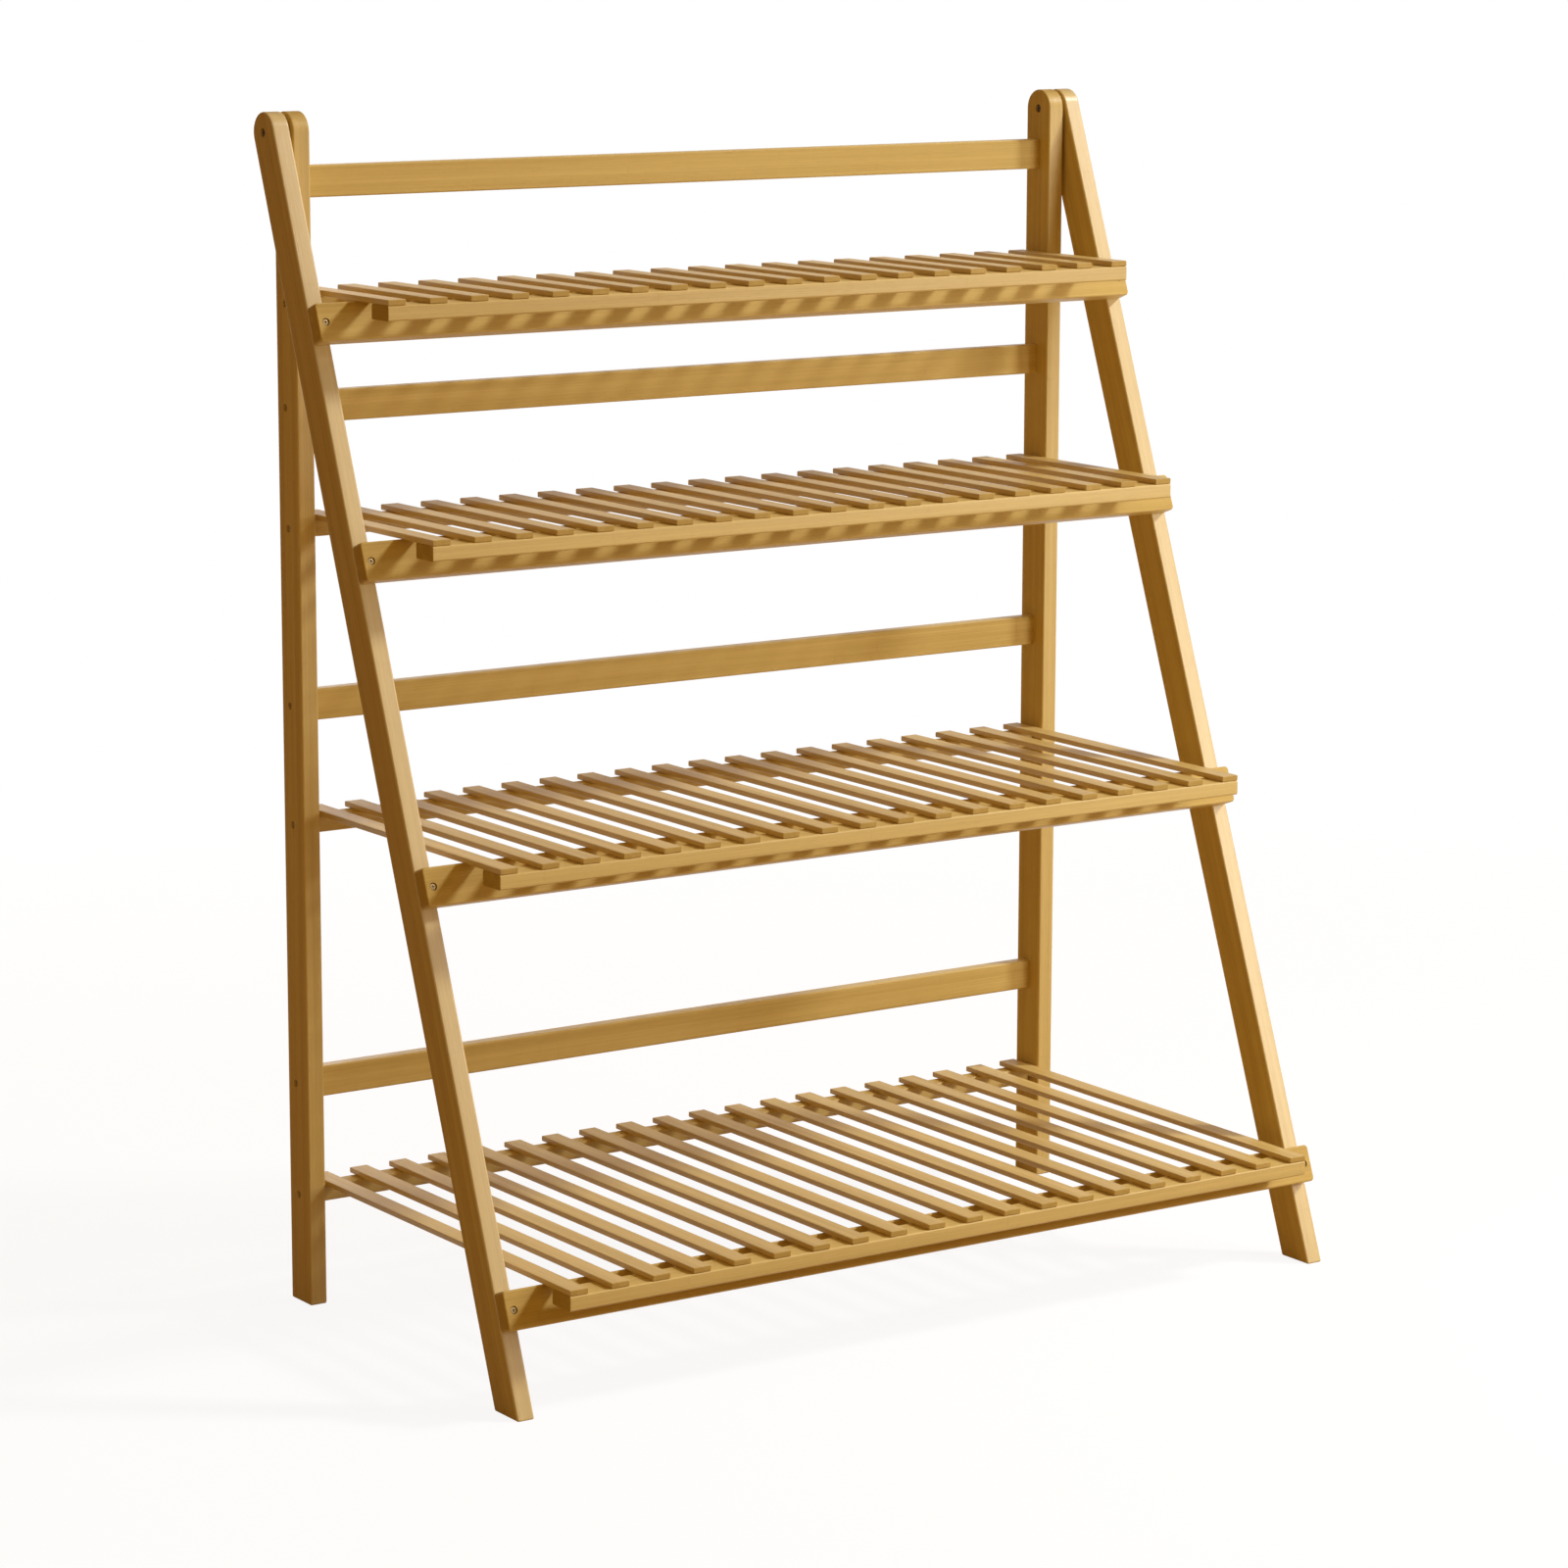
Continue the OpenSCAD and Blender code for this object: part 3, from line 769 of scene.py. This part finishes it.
bolt_end = BOLT_HEAD_HEIGHT + BOLT_LENGTH
bolt = cross_recess(turned([
    *crown(PIVOT_HEAD, PIVOT_CROWN), (BOLT_HEAD_HEIGHT, PIVOT_HEAD),
    (BOLT_HEAD_HEIGHT, BOLT_RADIUS),
    *thread(BOLT_HEAD_HEIGHT + BOLT_PLAIN, bolt_end - THREAD_PITCH, BOLT_RADIUS,
            THREAD_PITCH / 2, THREAD_DEPTH / 2),
    (bolt_end, BOLT_RADIUS * BOLT_TIP), (bolt_end, 0)]))

sleeve_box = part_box("leg_pivot_sleeves")
sleeve_end = sleeve_box[1].x - upright_box[0].x - PIVOT_RECESS
sleeve = cross_recess(turned([
    *crown(PIVOT_HEAD, PIVOT_CROWN), (SLEEVE_HEAD_HEIGHT, PIVOT_HEAD),
    (SLEEVE_HEAD_HEIGHT, SLEEVE_RADIUS), (sleeve_end - SLEEVE_BEVEL, SLEEVE_RADIUS),
    (sleeve_end, SLEEVE_RADIUS - SLEEVE_BEVEL), (sleeve_end, SLEEVE_BORE),
    (SLEEVE_HEAD_HEIGHT, SLEEVE_BORE), (SLEEVE_HEAD_HEIGHT, 0)]))

bolt_places, sleeve_places, washer_places = [], [], []
for hand in (-1, 1):
    inward = Matrix.Rotation(math.pi, 4, "Z") if hand > 0 else Matrix.Identity(4)
    outward = Matrix.Rotation(math.pi, 4, "Z") if hand < 0 else Matrix.Identity(4)
    head = Vector((hand * (leg_box[1].x - PIVOT_RECESS), leg_pivot.y, leg_pivot.z))
    bolt_places.append(Matrix.Translation(head) @ inward)
    head.x = hand * (upright_box[0].x + PIVOT_RECESS)
    sleeve_places.append(Matrix.Translation(head) @ outward)
    head.x = hand * upright_box[1].x
    washer_places.append(Matrix.Translation(head) @ outward)

finish_piece(place_copies(bolt, bolt_places), "pivot_bolts", "rear_frame",
             "leg_pivot_bolts", bronze)
finish_piece(place_copies(sleeve, sleeve_places), "pivot_sleeves", "rear_frame",
             "leg_pivot_sleeves", bronze)

washer_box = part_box("leg_pivot_washers")
washer_radius = (washer_box[1].z - washer_box[0].z) / 2
washer_height = washer_box[1].x - upright_box[1].x
bevel = washer_height * WASHER_BEVEL
bm = turned([(0, WASHER_HOLE), (0, washer_radius - bevel), (bevel, washer_radius),
             (washer_height - bevel, washer_radius), (washer_height, washer_radius - bevel),
             (washer_height, WASHER_HOLE), (0, WASHER_HOLE)])
finish_piece(place_copies(mesh_of(bm, "washer"), washer_places), "pivot_washers",
             "rear_frame", "leg_pivot_washers", steel)


# Shelves: each has twenty thin bamboo slats that lie on a front strip, flush
# with its front, and on a rear bar, and are held from below by brads. Two
# screws through the uprights into the ends of the rear bar are its pivots.
SLATS = 20
SLAT_WIDTH = 0.016
SLAT_EDGE = 0.0008
SLAT_STRIP = 0.0058
SLAT_SHEEN = 0.1
BRAD_RADIUS = 0.0006
BRAD_BEVEL = 0.0003
BRAD_FOOT = 0.8
BRAD_POINT = 0.0015
BRAD_COVER = 0.001
BRAD_STEPS = 8
REAR_BRAD_OFFSET = 0.004
PIVOT_LIFT = 0.0003

slat_bamboo = bamboo("bamboo_slats", paint(228, 200, 130), paint(190, 160, 90),
                     SLAT_STRIP, SLAT_SHEEN)


def slat_middles(box):
    """Where the middles of the slats lie over the width of a node's box."""
    step = (box[1].x - box[0].x - SLAT_WIDTH) / (SLATS - 1)
    return [box[0].x + SLAT_WIDTH / 2 + i * step for i in range(SLATS)]


def mark_slat(bm):
    """Gives one slat of a shelf a tone and a stretch of grain of its own."""
    grain = bm.verts.layers.float_vector["grain"]
    finish = bm.loops.layers.float_vector["finish"]
    shift, tone = stretch_of_stock()
    for vert in bm.verts:
        vert[grain] += shift
    for face in bm.faces:
        for loop in face.loops:
            loop[finish] = (tone, loop[finish].y, loop[finish].z)


def lay_slats(box):
    """Twenty slats side by side over the width of a node's box."""
    size = box[1] - box[0]
    slat = straight_board(size.y, SLAT_WIDTH, size.z, SLAT_EDGE, SLAT_EDGE)
    mark_grain(slat)
    bm = bmesh.new()
    for x in slat_middles(box):
        copy = slat.copy()
        mark_slat(copy)
        middle = centre(box)
        middle.x = x
        copy.transform(Matrix.Translation(middle) @ Matrix.Rotation(math.pi / 2, 4, "Z"))
        mesh = mesh_of(copy, "slat")
        bm.from_mesh(mesh)
        bpy.data.meshes.remove(mesh)
    slat.free()
    return bm


def brads(strip_box, slat_box, bar_box, pivot):
    """Headless brads driven up through the front strip and the rear bar."""
    top = slat_box[1].z - BRAD_COVER
    rows = ((centre(strip_box).y, strip_box[0].z),
            (pivot.y + REAR_BRAD_OFFSET, bar_box[0].z))
    bm = bmesh.new()
    for y, foot in rows:
        brad = mesh_of(turned([
            (0, 0), (0, BRAD_RADIUS * BRAD_FOOT), (BRAD_BEVEL, BRAD_RADIUS),
            (top - foot - BRAD_POINT, BRAD_RADIUS), (top - foot, 0)], BRAD_STEPS), "brad")
        stand = Matrix.Rotation(-math.pi / 2, 4, "Y")
        row = place_copies(brad, [
            Matrix.Translation((x, y, foot)) @ stand for x in slat_middles(slat_box)])
        mesh = mesh_of(row, "brad_row")
        bm.from_mesh(mesh)
        bpy.data.meshes.remove(mesh)
    return bm


for k, pivot in zip(SHELVES, shelf_pivots):
    body = f"shelf_{k}"
    slat_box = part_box(f"{body}_slats")
    strip_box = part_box(f"{body}_front_strip")
    bar_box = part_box(f"{body}_rear_bar")
    finish_piece(lay_slats(slat_box), f"{body}_slat_row", body,
                 f"{body}_slats", slat_bamboo)

    for board, node, box in (("strip", "front_strip", strip_box), ("bar", "rear_bar", bar_box)):
        size = box[1] - box[0]
        bm = straight_board(size.x, size.y, size.z)
        mark_grain(bm)
        bm.transform(Matrix.Translation(centre(box)))
        finish_piece(bm, f"{body}_{board}", body,
                     f"{body}_{node}", board_bamboo)

    bm = place_copies(rail_screw, side_places([pivot], PIVOT_LIFT))
    finish_piece(bm, f"{body}_screws", body, f"{body}_pivot_screws", steel)

    bm = brads(strip_box, slat_box, bar_box, pivot)
    finish_piece(bm, f"{body}_nails", body, f"{body}_brads", steel)
